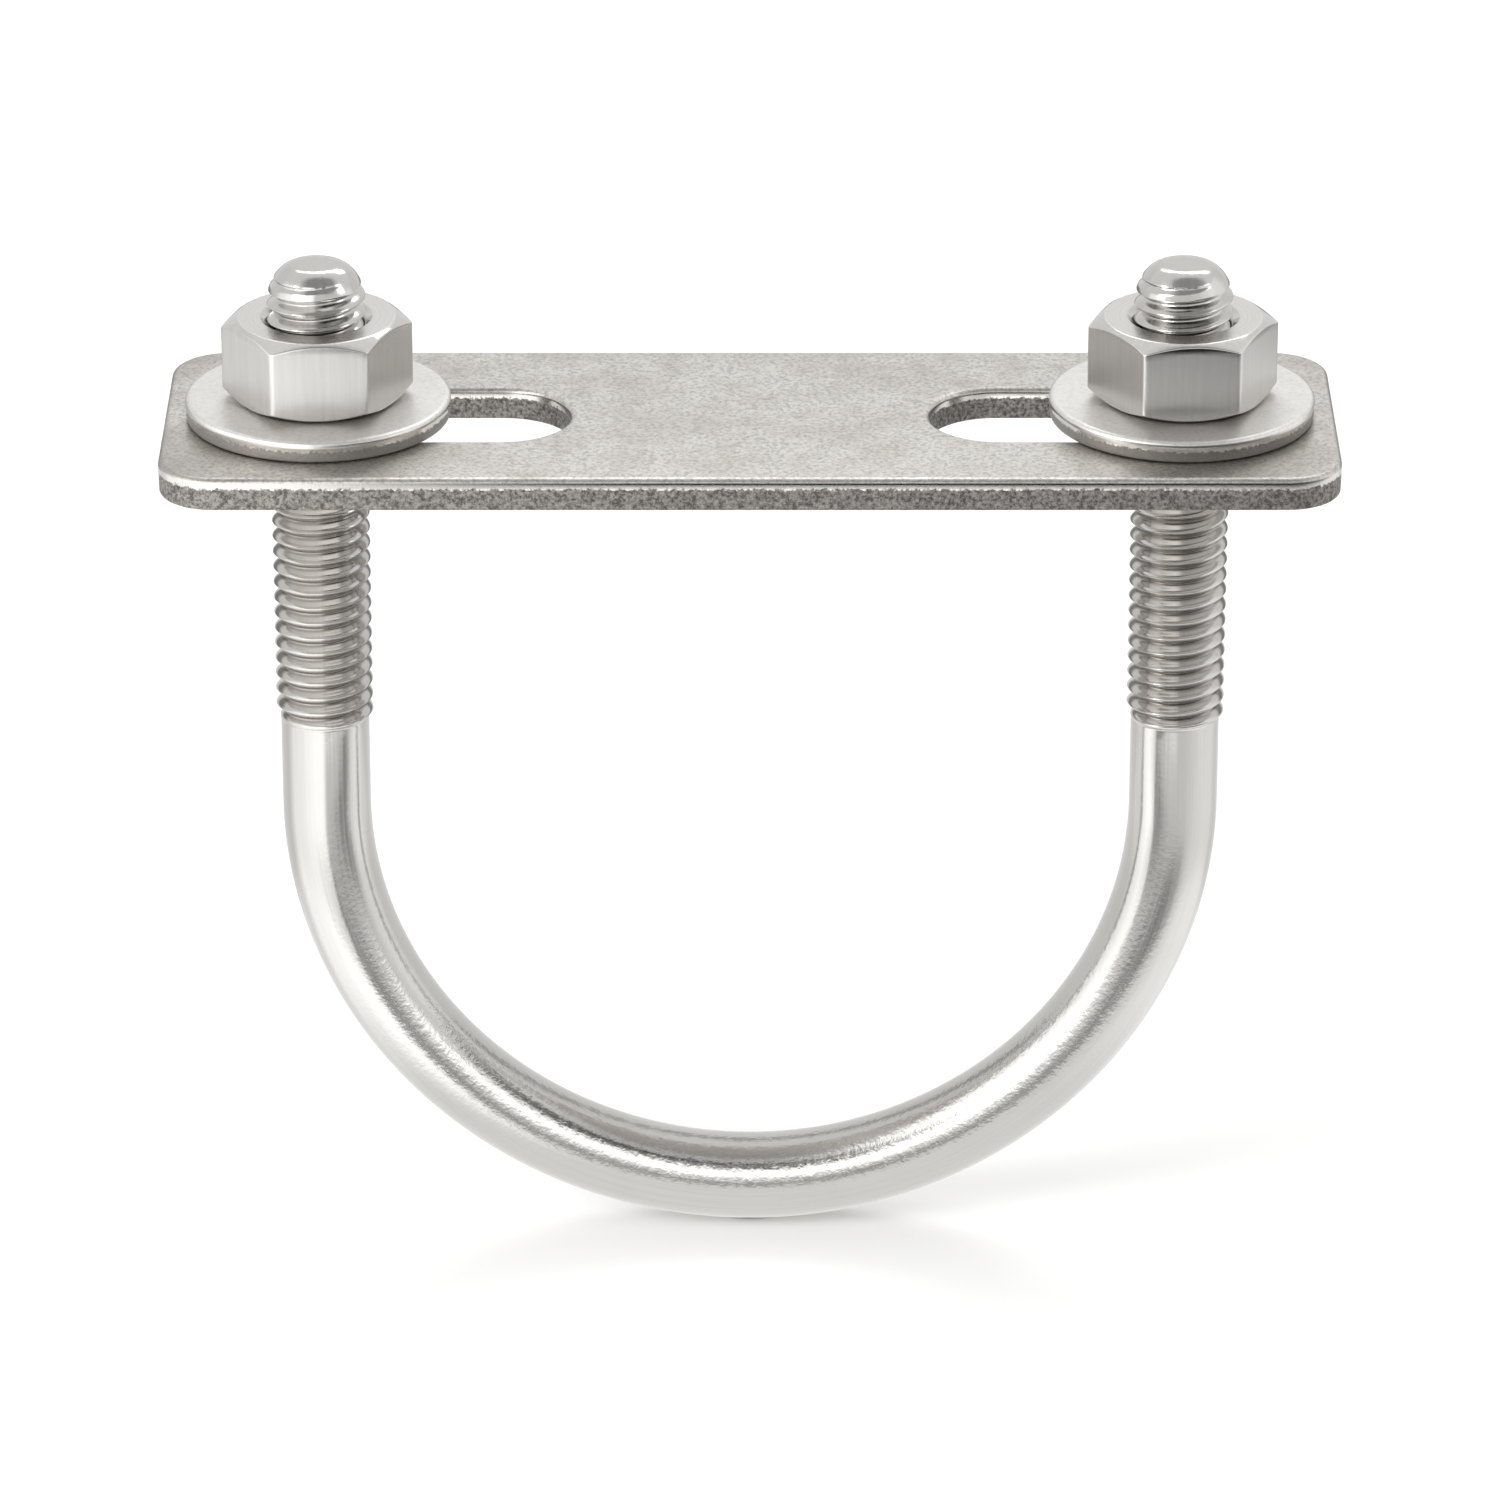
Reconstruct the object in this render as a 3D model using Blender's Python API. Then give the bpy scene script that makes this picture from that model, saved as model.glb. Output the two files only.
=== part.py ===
"""Stainless M6 U-bolt set for a round pipe: bent bolt, slotted plate, two washers and two nuts.

The frame's origin is the centre of the bend, which is where the clamped pipe's axis runs.
The pipe lies along Y, the legs stand up along +Z, and left is -X.
The plate, washers and nuts are threaded down onto the pipe, as they sit in use.
"""

import math

import bmesh
import bpy
from mathutils import Matrix

MM = 0.001

# Bolt
THREAD_DIAMETER = 6.0 * MM
THREAD_PITCH = 1.0 * MM
THREAD_DEPTH_PER_PITCH = 0.61    # of the metric thread form
SHANK_DIAMETER = 5.4 * MM
LEG_SPACING = 52.0 * MM          # between the axes of the legs
PLAIN_LEG = 5.5 * MM             # straight plain rod between the bend and the thread
THREAD_STANDOUT = 2.8 * MM       # thread left above a tightened nut
TIP_FLAT = 2.4 * MM              # flat left in the middle of each domed tip
TIP_DOME = 2.6 * MM              # how far down the dome reaches
THREAD_RUNOUT = 0.4 * MM
THREAD_BURIED = 0.1 * MM         # how far the thread's foot stands inside the shank

# Plate
PLATE_THICKNESS = 2.0 * MM
SLOT_LENGTH = 18.6 * MM
SLOT_SIDE_CLEARANCE = 1.2 * MM   # each side of the thread
SLOT_END_CLEARANCE = 0.4 * MM    # beyond the outside of the leg
PLATE_SIDE_WALL = 6.3 * MM
PLATE_END_WALL = 5.85 * MM
PLATE_CORNER = 3.4 * MM
PLATE_EDGE_ROUND = 0.35 * MM

# Washers
WASHER_DIAMETER = 16.0 * MM
WASHER_THICKNESS = 1.3 * MM
WASHER_BORE_CLEARANCE = 0.3 * MM
WASHER_EDGE_ROUND = 0.3 * MM

# Nuts
NUT_ACROSS_FLATS = 10.0 * MM
NUT_HEIGHT = 5.0 * MM
NUT_FACE_SHARE = 0.95            # chamfer circle on each face, as a share of the flats
NUT_CHAMFER_ANGLE = math.radians(30)
NUT_COUNTERSINK_LIP = 0.37 * MM  # beyond the thread's crest
NUT_THREAD_CLEARANCE = 0.15 * MM
NUT_TURNED = math.radians(4)     # how far a flat stands from square to the plate

SEAT_GAP = 0.3 * MM              # kept between pieces that rest on each other
CUTTER_MARGIN = 1.0 * MM         # how far a cutter runs past what it cuts
WELD = 0.001 * MM

# Facets
THREAD_SEGMENTS = 16
BEND_STEPS = 32
ROUND_SEGMENTS = 48
CORNER_STEPS = 6
DOME_STEPS = 5

# Worked out from the sizes above
THREAD_RADIUS = THREAD_DIAMETER / 2
THREAD_DEPTH = THREAD_DEPTH_PER_PITCH * THREAD_PITCH
ROOT_RADIUS = THREAD_RADIUS - THREAD_DEPTH
SHANK_RADIUS = SHANK_DIAMETER / 2
LEG_X = LEG_SPACING / 2
PIPE_RADIUS = LEG_X - SHANK_RADIUS
PLATE_BOTTOM = PIPE_RADIUS
WASHER_BOTTOM = PLATE_BOTTOM + PLATE_THICKNESS + SEAT_GAP
NUT_BOTTOM = WASHER_BOTTOM + WASHER_THICKNESS + SEAT_GAP
LEG_TIP = NUT_BOTTOM + NUT_HEIGHT + THREAD_STANDOUT
SLOT_WIDTH = THREAD_DIAMETER + 2 * SLOT_SIDE_CLEARANCE
SLOT_OUTER_END = LEG_X + THREAD_RADIUS + SLOT_END_CLEARANCE
SLOT_X = SLOT_OUTER_END - SLOT_LENGTH / 2
PLATE_LENGTH = 2 * (SLOT_OUTER_END + PLATE_END_WALL)
PLATE_DEPTH = SLOT_WIDTH + 2 * PLATE_SIDE_WALL
THREAD_BASE = PLAIN_LEG - 2 * THREAD_PITCH


def remove_everything():
    for thing in list(bpy.data.objects):
        bpy.data.objects.remove(thing, do_unlink=True)


def new_object(name, bm):
    """An object from a bmesh whose faces are turned outwards."""
    bmesh.ops.recalc_face_normals(bm, faces=bm.faces)
    mesh = bpy.data.meshes.new(name)
    bm.to_mesh(mesh)
    bm.free()
    thing = bpy.data.objects.new(name, mesh)
    bpy.context.scene.collection.objects.link(thing)
    return thing


def steel(name, colour, roughness):
    material = bpy.data.materials.new(name)
    material.use_nodes = True
    shader = material.node_tree.nodes["Principled BSDF"]
    shader.inputs["Base Color"].default_value = (*colour, 1)
    shader.inputs["Roughness"].default_value = roughness
    shader.inputs["Metallic"].default_value = 1.0
    return material


def finish(thing, material, smooth_under=35):
    """Gives a piece its material and smooth round faces with sharp corners."""
    thing.data.materials.clear()
    thing.data.materials.append(material)
    thing.data.shade_smooth()
    thing.data.set_sharp_from_angle(angle=math.radians(smooth_under))
    return thing


def combine(piece, operation, tool, solver="EXACT"):
    """Joins, cuts or clips a piece with a tool object, and removes the tool.

    Threads take the MANIFOLD solver, because EXACT leaves slivers open where a helix meets a face.
    """
    boolean = piece.modifiers.new(operation.title(), "BOOLEAN")
    boolean.operation = operation
    boolean.solver = solver
    boolean.object = tool
    bpy.context.view_layer.update()
    evaluated = piece.evaluated_get(bpy.context.evaluated_depsgraph_get())
    mesh = bpy.data.meshes.new_from_object(evaluated)
    piece.modifiers.clear()
    piece.data = mesh
    bpy.data.objects.remove(tool, do_unlink=True)


def turned(name, profile, closed=False, segments=ROUND_SEGMENTS):
    """A solid turned about Z from (radius, height) points.

    An open profile starts and ends on the axis. A closed one is a ring's section.
    """
    bm = bmesh.new()
    verts = [bm.verts.new((radius, 0, height)) for radius, height in profile]
    pairs = list(zip(verts, verts[1:]))
    if closed:
        pairs.append((verts[-1], verts[0]))
    edges = [bm.edges.new(pair) for pair in pairs]
    bmesh.ops.spin(
        bm, geom=verts + edges, cent=(0, 0, 0), axis=(0, 0, 1),
        angle=math.tau, steps=segments,
    )
    bmesh.ops.remove_doubles(bm, verts=bm.verts, dist=WELD)
    return new_object(name, bm)


def threaded_rod(name, root_radius, base, top):
    """A right-hand screw: one pitch of the V profile swept up a helix and welded to its next turn."""
    turns = math.ceil((top - base) / THREAD_PITCH)
    profile = ((root_radius, 0), (root_radius + THREAD_DEPTH, 0.5), (root_radius, 1))
    bm = bmesh.new()
    verts = [bm.verts.new((radius, 0, base + share * THREAD_PITCH)) for radius, share in profile]
    edges = [bm.edges.new(pair) for pair in zip(verts, verts[1:])]
    bmesh.ops.spin(
        bm, geom=verts + edges, cent=(0, 0, 0), axis=(0, 0, 1),
        dvec=(0, 0, THREAD_PITCH / THREAD_SEGMENTS),
        angle=math.tau * turns, steps=THREAD_SEGMENTS * turns,
    )
    bmesh.ops.remove_doubles(bm, verts=bm.verts, dist=WELD)
    rims = [edge for edge in bm.edges if edge.is_boundary]
    caps = bmesh.ops.holes_fill(bm, edges=rims, sides=0)["faces"]
    bmesh.ops.poke(bm, faces=caps)
    return new_object(name, bm)


def domed_tip():
    """(radius, height) points up a quarter ellipse from the thread's outside to the tip's flat."""
    points = []
    for step in range(DOME_STEPS + 1):
        angle = math.pi / 2 * step / DOME_STEPS
        radius = TIP_FLAT / 2 + (THREAD_RADIUS - TIP_FLAT / 2) * math.cos(angle)
        points.append((radius, LEG_TIP - TIP_DOME * (1 - math.sin(angle))))
    return points


def leg_envelope():
    """What a leg's thread is clipped to: a domed tip above and a cone into the shank below."""
    outside = THREAD_RADIUS + SEAT_GAP
    buried = SHANK_RADIUS - THREAD_BURIED
    foot = PLAIN_LEG - THREAD_PITCH / 2
    return turned("leg_envelope", [
        (0, foot),
        (buried, foot),
        (buried, PLAIN_LEG + THREAD_BURIED),
        (outside, PLAIN_LEG + THREAD_BURIED + THREAD_RUNOUT),
        (outside, LEG_TIP - TIP_DOME),
        *domed_tip(),
        (0, LEG_TIP),
    ])


def threaded_leg(x):
    rod = threaded_rod("threaded_leg", ROOT_RADIUS, THREAD_BASE, LEG_TIP + CUTTER_MARGIN)
    combine(rod, "INTERSECT", leg_envelope(), "MANIFOLD")
    rod.location.x = x
    return rod


def carry(bm, rim, rise):
    """Carries an open rim of edges straight up or down. Returns the new rim."""
    made = bmesh.ops.extrude_edge_only(bm, edges=rim)["geom"]
    moved = {part for part in made if isinstance(part, bmesh.types.BMVert)}
    bmesh.ops.translate(bm, verts=list(moved), vec=(0, 0, rise))
    return [edge for edge in bm.edges if moved.issuperset(edge.verts)]


def plain_rod():
    """The shank's circle carried down the left leg, round the bend and up the right leg."""
    bm = bmesh.new()
    place = Matrix.Translation((-LEG_X, 0, PLAIN_LEG))
    bmesh.ops.create_circle(bm, segments=THREAD_SEGMENTS, radius=SHANK_RADIUS, matrix=place)
    rim = carry(bm, bm.edges[:], -PLAIN_LEG)
    verts = list({vert for edge in rim for vert in edge.verts})
    bmesh.ops.spin(
        bm, geom=verts + rim, cent=(0, 0, 0), axis=(0, 1, 0),
        angle=-math.pi, steps=BEND_STEPS,
    )
    carry(bm, [edge for edge in bm.edges if edge.is_boundary and edge.verts[0].co.x > 0], PLAIN_LEG)
    bmesh.ops.holes_fill(bm, edges=[edge for edge in bm.edges if edge.is_boundary], sides=0)
    return new_object("u_bolt", bm)


def make_u_bolt():
    bolt = plain_rod()
    for x in (-LEG_X, LEG_X):
        combine(bolt, "UNION", threaded_leg(x), "MANIFOLD")
    return finish(bolt, steel("bright_rod", (0.60, 0.59, 0.57), 0.22))


def rounded_outline(length, depth, corner):
    """Points round a rectangle with arcs of the corner radius, counter-clockwise."""
    points = []
    corners = ((1, 1, 0), (-1, 1, 90), (-1, -1, 180), (1, -1, 270))
    for side_x, side_y, start in corners:
        for step in range(CORNER_STEPS + 1):
            angle = math.radians(start + 90 * step / CORNER_STEPS)
            x = side_x * (length / 2 - corner) + corner * math.cos(angle)
            y = side_y * (depth / 2 - corner) + corner * math.sin(angle)
            points.append((x, y))
    return points


def slab(name, outline, bottom, height, x=0.0):
    """An outline extruded upwards from bottom."""
    bm = bmesh.new()
    face = bm.faces.new([bm.verts.new((px, py, bottom)) for px, py in outline])
    made = bmesh.ops.extrude_face_region(bm, geom=[face])["geom"]
    lifted = [part for part in made if isinstance(part, bmesh.types.BMVert)]
    bmesh.ops.translate(bm, verts=lifted, vec=(0, 0, height))
    bmesh.ops.remove_doubles(bm, verts=bm.verts, dist=WELD)
    thing = new_object(name, bm)
    thing.location.x = x
    return thing


def make_plate():
    """The slotted plate, its origin on its underside over the middle of the bend."""
    plate = slab(
        "slotted_plate", rounded_outline(PLATE_LENGTH, PLATE_DEPTH, PLATE_CORNER),
        0, PLATE_THICKNESS,
    )
    # the slot's round ends have the slot's half width as their radius, less a hair so that
    # the outline keeps two straight ends
    slot = rounded_outline(SLOT_LENGTH, SLOT_WIDTH, SLOT_WIDTH / 2 - WELD)
    for x in (-SLOT_X, SLOT_X):
        cutter = slab("slot", slot, -CUTTER_MARGIN, PLATE_THICKNESS + 2 * CUTTER_MARGIN, x)
        combine(plate, "DIFFERENCE", cutter)
    edges = plate.modifiers.new("Rolled edges", "BEVEL")
    edges.width = PLATE_EDGE_ROUND
    edges.segments = 2
    edges.limit_method = "ANGLE"
    edges.angle_limit = math.radians(60)
    plate.location.z = PLATE_BOTTOM
    return finish(plate, steel("tumbled_plate", (0.55, 0.54, 0.51), 0.42))


def washer_mesh():
    """A flat ring with rounded edges, its underside at height 0."""
    bore = (THREAD_DIAMETER + WASHER_BORE_CLEARANCE) / 2
    rim, top, edge = WASHER_DIAMETER / 2, WASHER_THICKNESS, WASHER_EDGE_ROUND
    turn = edge * (1 - math.sqrt(0.5))
    section = []
    for radius, side in ((rim, -1), (bore, 1)):
        lower = [(radius + side * edge, 0), (radius + side * turn, turn), (radius, edge)]
        upper = [(r, top - z) for r, z in reversed(lower)]
        section += (lower + upper) if side < 0 else (lower + upper)[::-1]
    ring = turned("washer", section, closed=True)
    mesh = ring.data
    bpy.data.objects.remove(ring, do_unlink=True)
    return mesh


def nut_mesh():
    """A hexagon clipped to its chamfers, then tapped and countersunk, its underside at height 0."""
    bm = bmesh.new()
    corner = NUT_ACROSS_FLATS / 2 / math.cos(math.radians(30))
    flat_forward = Matrix.Rotation(math.radians(30) + NUT_TURNED, 4, "Z")
    bmesh.ops.create_cone(
        bm, cap_ends=True, segments=6, radius1=corner, radius2=corner, depth=NUT_HEIGHT,
        matrix=Matrix.Translation((0, 0, NUT_HEIGHT / 2)) @ flat_forward,
    )
    nut = new_object("nut", bm)

    face = NUT_FACE_SHARE * NUT_ACROSS_FLATS / 2
    widest = corner + CUTTER_MARGIN
    drop = (widest - face) * math.tan(NUT_CHAMFER_ANGLE)
    barrel = turned("chamfers", [
        (0, 0), (face, 0), (widest, drop),
        (widest, NUT_HEIGHT - drop), (face, NUT_HEIGHT), (0, NUT_HEIGHT),
    ])
    combine(nut, "INTERSECT", barrel)

    # whole pitches below the nut, so that its thread is in step with the leg's
    pitches = math.floor((NUT_BOTTOM - CUTTER_MARGIN - THREAD_BASE) / THREAD_PITCH)
    base = THREAD_BASE + pitches * THREAD_PITCH - NUT_BOTTOM
    tap = threaded_rod("tap", ROOT_RADIUS + NUT_THREAD_CLEARANCE, base, NUT_HEIGHT + CUTTER_MARGIN)
    combine(nut, "DIFFERENCE", tap, "MANIFOLD")

    core = ROOT_RADIUS - SEAT_GAP
    mouth = THREAD_RADIUS + NUT_COUNTERSINK_LIP
    depth = mouth - core
    past = CUTTER_MARGIN
    countersinks = turned("countersinks", [
        (0, -past), (mouth + past, -past), (core, depth),
        (core, NUT_HEIGHT - depth), (mouth + past, NUT_HEIGHT + past), (0, NUT_HEIGHT + past),
    ])
    combine(nut, "DIFFERENCE", countersinks, "MANIFOLD")
    mesh = nut.data
    bpy.data.objects.remove(nut, do_unlink=True)
    return mesh


def place_pair(name, mesh, bottom, material):
    """The left and right copies of a mesh, each with its origin on its leg's axis."""
    for side, x in (("left", -LEG_X), ("right", LEG_X)):
        thing = bpy.data.objects.new(f"{name}_{side}", mesh)
        bpy.context.scene.collection.objects.link(thing)
        thing.location = (x, 0, bottom)
        finish(thing, material)


def main():
    remove_everything()
    make_u_bolt()
    make_plate()
    place_pair("washer", washer_mesh(), WASHER_BOTTOM, steel("stamped_washer", (0.68, 0.68, 0.67), 0.38))
    place_pair("nut", nut_mesh(), NUT_BOTTOM, steel("bright_nut", (0.62, 0.62, 0.61), 0.25))


main()
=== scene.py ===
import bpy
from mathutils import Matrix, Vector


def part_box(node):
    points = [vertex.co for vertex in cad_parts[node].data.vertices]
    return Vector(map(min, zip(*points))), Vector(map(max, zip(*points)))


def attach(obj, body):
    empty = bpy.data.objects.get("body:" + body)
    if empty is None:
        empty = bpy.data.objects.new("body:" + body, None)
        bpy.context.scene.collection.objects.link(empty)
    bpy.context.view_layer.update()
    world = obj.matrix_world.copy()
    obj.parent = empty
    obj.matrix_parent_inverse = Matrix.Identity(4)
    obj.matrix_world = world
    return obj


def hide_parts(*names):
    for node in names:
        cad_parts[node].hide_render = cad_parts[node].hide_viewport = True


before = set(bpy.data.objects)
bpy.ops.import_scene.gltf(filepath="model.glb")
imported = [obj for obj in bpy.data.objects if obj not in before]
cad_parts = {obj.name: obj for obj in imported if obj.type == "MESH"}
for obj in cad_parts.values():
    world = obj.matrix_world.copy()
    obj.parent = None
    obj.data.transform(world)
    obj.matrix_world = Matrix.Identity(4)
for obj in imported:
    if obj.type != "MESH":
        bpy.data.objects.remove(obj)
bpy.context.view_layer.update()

import math

import bmesh
import bpy
import numpy as np
from bpy.props import FloatProperty, FloatVectorProperty, PointerProperty
from bpy.types import Operator, Panel, PropertyGroup, Scene
from mathutils import Vector

bl_info = {
    "name": "U-bolt set",
    "version": (1, 0, 0),
    "blender": (4, 5, 0),
    "location": "View3D > Sidebar > U-bolt",
    "description": "A stainless M6 U-bolt with its slotted plate, washers and nuts, in studio light",
    "category": "Object",
}

# The pipe's axis is the origin and runs along Y, the legs stand up along +Z, and left is -X.

MM = 0.001
WELD = 0.0005 * MM               # points closer than this are one point

BOLT_LOW, BOLT_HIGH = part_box("u_bolt")
PLATE_LOW, PLATE_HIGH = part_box("slotted_plate")
WASHER_LOW, WASHER_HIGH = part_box("washer_right")
NUT_LOW, NUT_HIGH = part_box("nut_right")

LEG_X = (WASHER_LOW[0] + WASHER_HIGH[0]) / 2
THREAD_BASE = 3.5 * MM           # height where a root passes each leg's +X side
SEATED = 0.03 * MM               # what is left between pieces pressed together

# One pitch of thread, from root to root: closer together where the rounding is tight
THREAD_PHASES = np.array([
    0.0, 0.05, 0.10, 0.15, 0.22, 0.30, 0.37, 0.41, 0.44,
    0.47, 0.50, 0.53, 0.56, 0.59, 0.63, 0.70, 0.78, 0.85, 0.90, 0.95,
])
CREST_HALF_WIDTH = 1 / 16        # of the pitch, as the metric form has it
THREAD_DEPTH_PER_PITCH = 0.61
FLANK_SLOPE = math.tan(math.radians(30))
BURNISHED_SHARE = 0.34           # of a punched wall's height, before it tears
FLOOR_REACH = 0.85               # further out it is unlit, and low views show it as a grey band

ROD_COLUMNS = 60
BEND_ROWS = 150
WASHER_COLUMNS = 144

# The light tent is a bowl this long, deep and high. Its cloth's brightness is the sum of the
# bands, and a band is a product of smooth steps: (across what, from, to, before, after).
# "turn" is in degrees from the front, + to the left, and "aside" is the same without its sign.
# "height" is in mm above the pipe's axis. "outward" is 0 in the middle and 1 at the wall.
TENT_X, TENT_Y, TENT_TOP = 75 * MM, 46 * MM, 70 * MM
TENT_BANDS = (
    # plain cloth, lighter on the ground
    (("outward", 0.80, 1.0, 1.12, 0.92),),
    # a light on the left, brightest towards the front, and a faint one on the right
    (("turn", 18, 25, 0, 0.95), ("turn", 28, 72, 1, 0.60), ("turn", 84, 112, 1, 0),
     ("outward", 0.3, 0.6, 0, 1)),
    (("turn", -25, -75, 0, 0.30), ("turn", -105, -130, 1, 0), ("outward", 0.3, 0.6, 0, 1)),
    # a bright line low in front, and a dark one above it
    (("height", -15, -9, 0, 1.35), ("height", 7, 12, 1, 0), ("aside", 14, 28, 1, 0)),
    (("height", 13, 18, 0, -0.90), ("height", 38, 46, 1, 0), ("turn", 6, 22, 1, 0),
     ("turn", -95, -60, 0, 1)),
    # a dark line round the back
    (("height", 11, 16, 0, -0.65), ("height", 25, 32, 1, 0), ("aside", 112, 128, 0, 1)),
    # a darker foot to the wall in front
    (("height", -24, -20, -0.60, 0), ("outward", 0.78, 0.92, 0, 1), ("aside", 25, 50, 1, 0)),
)


# ---------------------------------------------------------------- shapes

def smooth_lesser(a, b, blend):
    """The lesser of a and b, with the corner where they meet rounded over blend."""
    return np.minimum(a, b) - np.maximum(blend - np.abs(a - b), 0) ** 2 / (4 * blend)


def ease(share):
    """0 below 0, 1 above 1, and between them 3s^2 - 2s^3."""
    share = np.clip(share, 0, 1)
    return share * share * (3 - 2 * share)


def thread_rise(phase, depth, pitch):
    """How high a rolled thread stands, 0 at the root (phase 0) to 1 at the crest (phase 0.5).

    Flanks lean 30 degrees from square, so each takes depth times tan 30 along the axis.
    The straight flank is cut off at 0 and 1 with a smooth greater and a smooth lesser.
    """
    away = np.abs(phase % 1 - 0.5)
    flank = depth * FLANK_SLOPE / pitch
    straight = (CREST_HALF_WIDTH + flank - away) / flank
    return -smooth_lesser(-smooth_lesser(straight, 1, 0.5), 0, 0.35)


def screw_rows(low, high, pitch):
    """The heights at angle 0 of the thread's rows, enough to cover low to high at every angle."""
    first = math.floor((low - THREAD_BASE) / pitch) - 1
    last = math.ceil((high - THREAD_BASE) / pitch)
    turns = np.arange(first, last)
    return (turns[:, None] + THREAD_PHASES[None, :]).ravel()


def screw_grid(angles, low, high, pitch):
    """(phase, height, angle) grids of a right-hand screw.

    Row j keeps one place on the thread's profile and climbs one pitch in a turn:
    height = base + pitch * (phase + angle / 2 pi), held between low and high.
    """
    phase, angle = np.meshgrid(screw_rows(low, high, pitch), angles, indexing="ij")
    height = THREAD_BASE + pitch * (phase + angle / math.tau)
    return phase, np.clip(height, low, high), angle


def round_points(radius, angle, height, x=0.0):
    """Points at a radius and an angle round an upright axis at x."""
    radius, angle, height = np.broadcast_arrays(radius, angle, height)
    return np.stack([x + radius * np.cos(angle), radius * np.sin(angle), height], axis=-1)


def leg_patches(sizes, x):
    """A leg's thread and the flat of its tip.

    The profile's radius starts as the shank's and grows to the thread's over the run-out,
    and is never more than the dome's, a quarter ellipse from the outside to the flat.
    """
    crest, shank = sizes.thread_diameter / 2, sizes.shank_diameter / 2
    flat, tip, start = sizes.tip_flat / 2, BOLT_HIGH[2], sizes.thread_start
    angles = np.linspace(0, math.tau, ROD_COLUMNS + 1)
    phase, height, angle = screw_grid(angles, start, tip, sizes.pitch)
    depth = THREAD_DEPTH_PER_PITCH * sizes.pitch
    thread = crest - depth * (1 - thread_rise(phase, depth, sizes.pitch))
    thread = shank + ease((height - start) / sizes.run_out) * (thread - shank)
    up_dome = np.clip((height - (tip - sizes.tip_dome)) / sizes.tip_dome, 0, 1)
    dome = flat + (crest - flat) * np.sqrt(1 - up_dome ** 2)
    radius = np.minimum(thread, dome)
    along = np.stack([angle * shank, height], axis=-1)
    yield patch(round_points(radius, angle, height, x), along)

    share, angle = np.meshgrid(np.linspace(1, 0, 5), angles, indexing="ij")
    disc = round_points(flat * share, angle, tip, x)
    yield patch(disc, np.stack([angle * shank, tip + flat * (1 - share)], axis=-1))


def shank_patch(sizes):
    """The plain rod: a circle carried down the left leg, round the half circle and up the right leg.

    The outward side of the circle leads away from the pipe's axis all the way, so a point is
    the centre line + radius * (cos * outward + sin * Y).
    """
    legs = np.linspace(1, 0, 9)[:-1]
    turn = np.linspace(0, math.pi, BEND_ROWS + 1)
    turn = np.concatenate([np.zeros(len(legs)), turn, np.full(len(legs), math.pi)])
    rise = sizes.thread_start * np.concatenate([legs, np.zeros(BEND_ROWS + 1), legs[::-1]])
    outward = np.stack([-np.cos(turn), 0 * turn, -np.sin(turn)], axis=-1)
    centre = LEG_X * outward
    centre[:, 2] += rise
    angle = np.linspace(0, math.tau, ROD_COLUMNS + 1)
    radius = sizes.shank_diameter / 2
    points = (
        centre[:, None, :]
        + radius * np.cos(angle)[None, :, None] * outward[:, None, :]
        + radius * np.sin(angle)[None, :, None] * np.array([0.0, 1.0, 0.0])
    )
    run = LEG_X * turn - np.where(turn < 1, rise, -rise)
    along, around = np.meshgrid(run, angle * radius, indexing="ij")
    return patch(points, np.stack([around, along], axis=-1))


def cut_edge(thickness, roll):
    """The wall that a punch leaves, from the upper face down: (inset, height, depth) rows.

    The sheet is drawn over a quarter ellipse, then burnished square, then torn slightly
    inwards, with a blunted lower edge. Depth is how far down the wall, 0 on the faces.
    """
    turn = np.linspace(0, math.pi / 2, 7)
    drop = roll * 0.8
    rolled = np.stack([roll * (1 - np.sin(turn)), thickness - drop * (1 - np.cos(turn))], axis=-1)
    torn = thickness * (1 - BURNISHED_SHARE)
    wall = np.array([
        (0, torn + 0.06 * MM), (0, torn + 0.02 * MM), (0.025 * MM, torn - 0.03 * MM),
        (0.035 * MM, torn * 0.6), (0.05 * MM, 0.16 * MM), (0.07 * MM, 0.09 * MM),
        (0.12 * MM, 0.03 * MM), (0.20 * MM, 0),
    ])
    rows = np.concatenate([rolled, wall])
    return rows[:, 0], rows[:, 1], thickness - rows[:, 1]


def stamped_sheet(hole, rim, low, thickness, roll, keep_wall=None):
    """A stamped ring of sheet, its section carried round a hole's outline and a rim's.

    hole and rim are (points, directions into the metal), matched point for point. The section
    runs up the hole's wall, straight across to the rim, down its wall and straight back.
    """
    inset, height, depth = cut_edge(thickness, roll)
    across = np.array([0.004, 0.08, 0.25, 0.5, 0.75, 0.92, 0.996])

    def wall(outline, order):
        points, into = outline
        flat = points[None] + inset[order, None, None] * into[None]
        upright = np.broadcast_to(height[order, None, None], (*flat.shape[:2], 1))
        return np.concatenate([flat, upright], axis=-1)

    down = np.arange(len(inset))
    hole_wall, rim_wall = wall(hole, down[::-1]), wall(rim, down)
    between = across[:, None, None]
    top = hole_wall[-1] + between * (rim_wall[0] - hole_wall[-1])
    under = rim_wall[-1] + between * (hole_wall[0] - rim_wall[-1])
    points = np.concatenate([hole_wall, top, rim_wall, under, hole_wall[:1]])
    points[..., 2] += low
    face = np.zeros(len(across))
    down_wall = np.concatenate([depth[::-1], face, depth, face, depth[-1:]])
    lengths = np.linalg.norm(np.diff(rim[0], axis=0), axis=-1)
    along = np.concatenate([[0], np.cumsum(lengths)])
    down_wall, along = np.meshgrid(down_wall, along, indexing="ij")
    keep = None
    if keep_wall is not None:
        first = len(hole_wall) + len(across)
        keep = np.ones((len(points) - 1, len(rim[0]) - 1), dtype=bool)
        keep[first:first + len(rim_wall) - 1, ~keep_wall] = False
    return patch(points, np.stack([along, down_wall], axis=-1), keep)


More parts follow.
